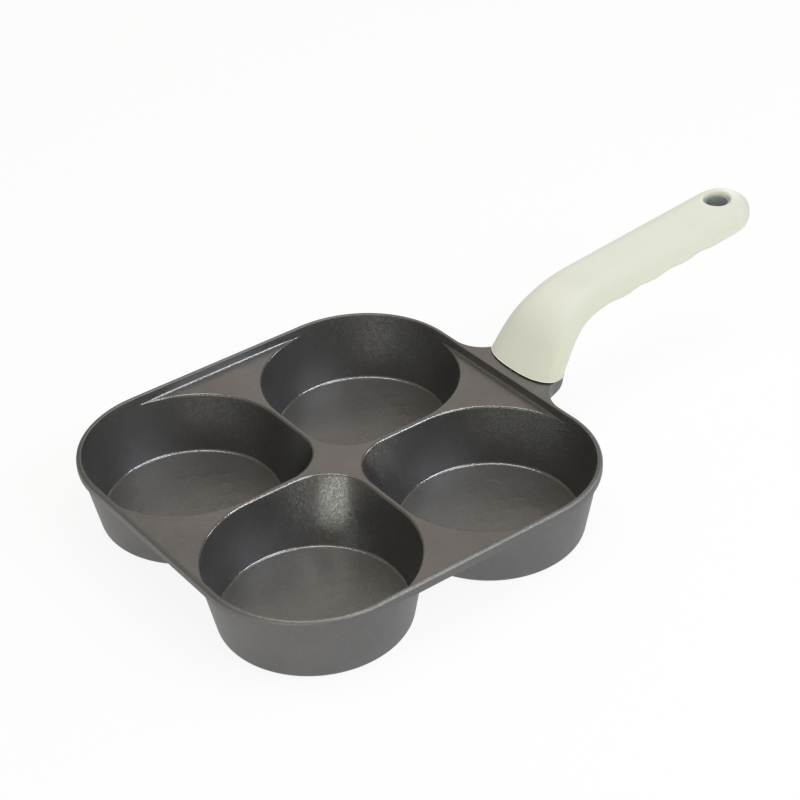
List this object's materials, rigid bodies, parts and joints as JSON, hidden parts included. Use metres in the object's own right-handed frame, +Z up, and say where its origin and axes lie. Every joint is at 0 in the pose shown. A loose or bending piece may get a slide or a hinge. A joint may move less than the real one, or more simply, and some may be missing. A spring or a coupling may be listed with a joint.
{
  "type": "egg pan",
  "caption": "Square egg pan with round drafted cups under a shared deck and rim, a side lug and a bent soft-touch handle with a hang hole.",
  "frame": {"origin": "on the base plane, under the middle of the whole object's box", "axes": "+Z up from the base plane, +Y along the handle away from the pan, +X to the right when looking along the handle"},
  "size_m": [0.1998, 0.3524, 0.082],
  "materials": {
    "pan_coating": "cast, with a dark brown-grey non-stick coating that has fine metallic flakes",
    "handle_cream": "moulded, with a soft-touch cream coat",
    "liner_grey": "satin cool grey",
    "fastener_steel": "zinc plated",
    "insert_brass": "turned",
    "plate_steel": "rolled stainless steel, perforated"
  },
  "bodies": {
    "root": {"pan_body": "pan_coating", "handle": "handle_cream", "hang_hole_liner": "liner_grey", "handle_screw": "fastener_steel", "lock_washer": "fastener_steel", "threaded_insert": "insert_brass", "base_plate_front_left": "plate_steel", "base_plate_front_right": "plate_steel", "base_plate_rear_left": "plate_steel", "base_plate_rear_right": "plate_steel"}
  },
  "joints": []
}
